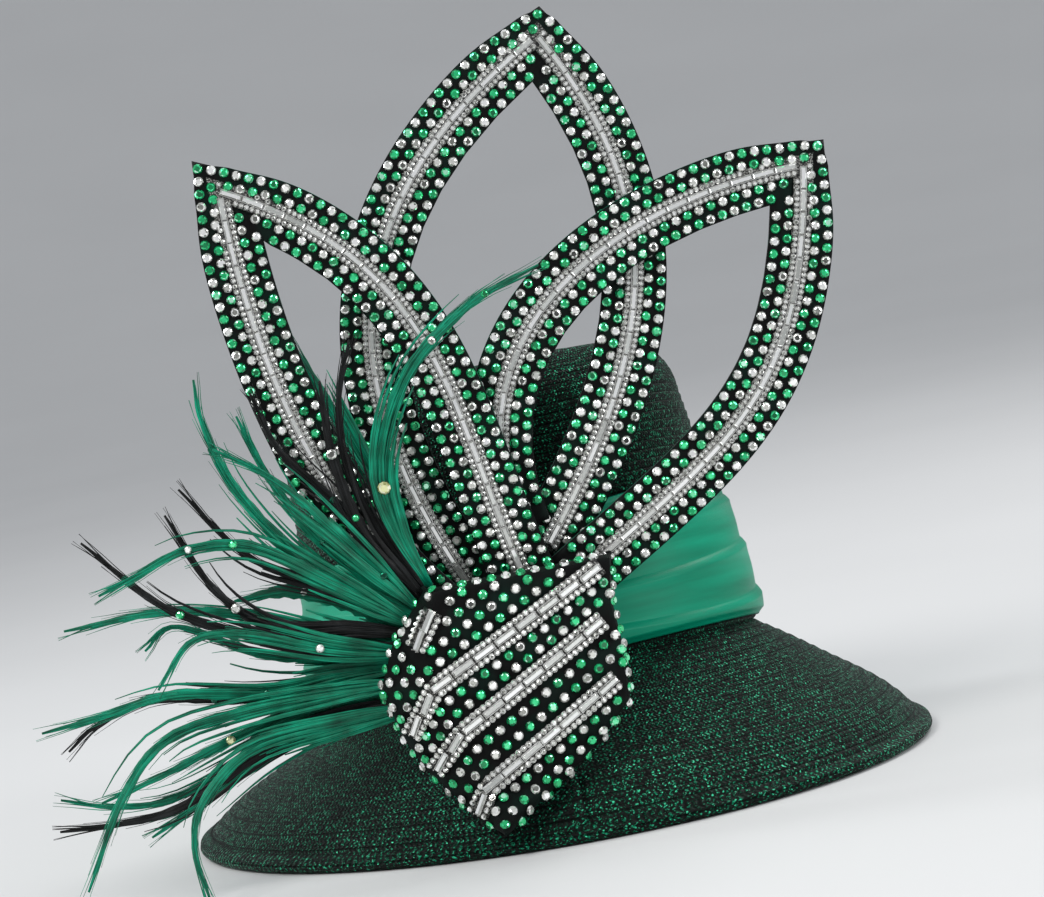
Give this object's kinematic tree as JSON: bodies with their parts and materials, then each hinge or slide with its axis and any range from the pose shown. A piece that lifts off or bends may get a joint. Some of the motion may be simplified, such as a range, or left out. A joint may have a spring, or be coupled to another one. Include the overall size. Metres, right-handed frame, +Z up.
{
  "type": "wide-brim dress hat",
  "caption": "Black-green sewn straw dress hat with down-turned brim, pleated satin band, pointed crystal loops, wrapped knot and feathers.",
  "frame": {"origin": "centre of the head opening, at the foot of the crown", "axes": "+Z up, normal to the plane that the rim rests on; -Y towards the side that carries the ornament; the wearer faces +X turned 40 degrees towards -Y"},
  "size_m": [0.3747, 0.3419, 0.3418],
  "materials": {
    "straw_braid": "glossy black braid with green metallic flecks",
    "emerald_satin": "satin",
    "black_grosgrain": "matt ribbed ribbon",
    "black_buckram": "matt stiffened cloth",
    "millinery_wire": "black thread-covered wire",
    "stones_on_netting": "emerald and clear crystals on black netting",
    "baguette_trim": "clear cut stones in silver settings",
    "black_felt": "matt felt",
    "green_feather": "dyed, soft sheen",
    "black_feather": "dyed, soft sheen"
  },
  "bodies": {
    "root": {"brim": "straw_braid", "brim_binding": "straw_braid", "brim_wire": "millinery_wire", "crown": "straw_braid", "feather_01_green": "green_feather", "feather_02_black": "black_feather", "feather_03_black": "black_feather", "feather_04_black": "black_feather", "feather_05_green": "green_feather", "feather_06_green": "green_feather", "feather_07_green": "green_feather", "feather_08_black": "black_feather", "feather_09_green": "green_feather", "feather_10_black": "black_feather", "feather_11_green": "green_feather", "feather_12_black": "black_feather", "feather_13_green": "green_feather", "feather_14_green": "green_feather", "feather_15_green": "green_feather", "feather_16_green": "green_feather", "feather_17_black": "black_feather", "feather_18_green": "green_feather", "feather_19_green": "green_feather", "feather_20_green": "green_feather", "feather_21_green": "green_feather", "feather_22_black": "black_feather", "feather_23_green": "green_feather", "feather_24_green": "green_feather", "feather_25_green": "green_feather", "feather_holder": "black_felt", "felt_plate": "black_felt", "knot_core": "black_buckram", "knot_face": "stones_on_netting", "knot_trim_lower": "baguette_trim", "knot_trim_middle": "baguette_trim", "knot_trim_short": "baguette_trim", "knot_trim_upper": "baguette_trim", "loop_centre_backing": "emerald_satin", "loop_centre_baguette_trim": "baguette_trim", "loop_centre_core": "black_buckram", "loop_centre_inner_stones": "stones_on_netting", "loop_centre_outer_stones": "stones_on_netting", "loop_centre_wire": "millinery_wire", "loop_left_backing": "emerald_satin", "loop_left_baguette_trim": "baguette_trim", "loop_left_core": "black_buckram", "loop_left_inner_stones": "stones_on_netting", "loop_left_outer_stones": "stones_on_netting", "loop_left_wire": "millinery_wire", "loop_right_backing": "emerald_satin", "loop_right_baguette_trim": "baguette_trim", "loop_right_core": "black_buckram", "loop_right_inner_stones": "stones_on_netting", "loop_right_outer_stones": "stones_on_netting", "loop_right_wire": "millinery_wire", "satin_band": "emerald_satin", "sweatband": "black_grosgrain"}
  },
  "joints": []
}
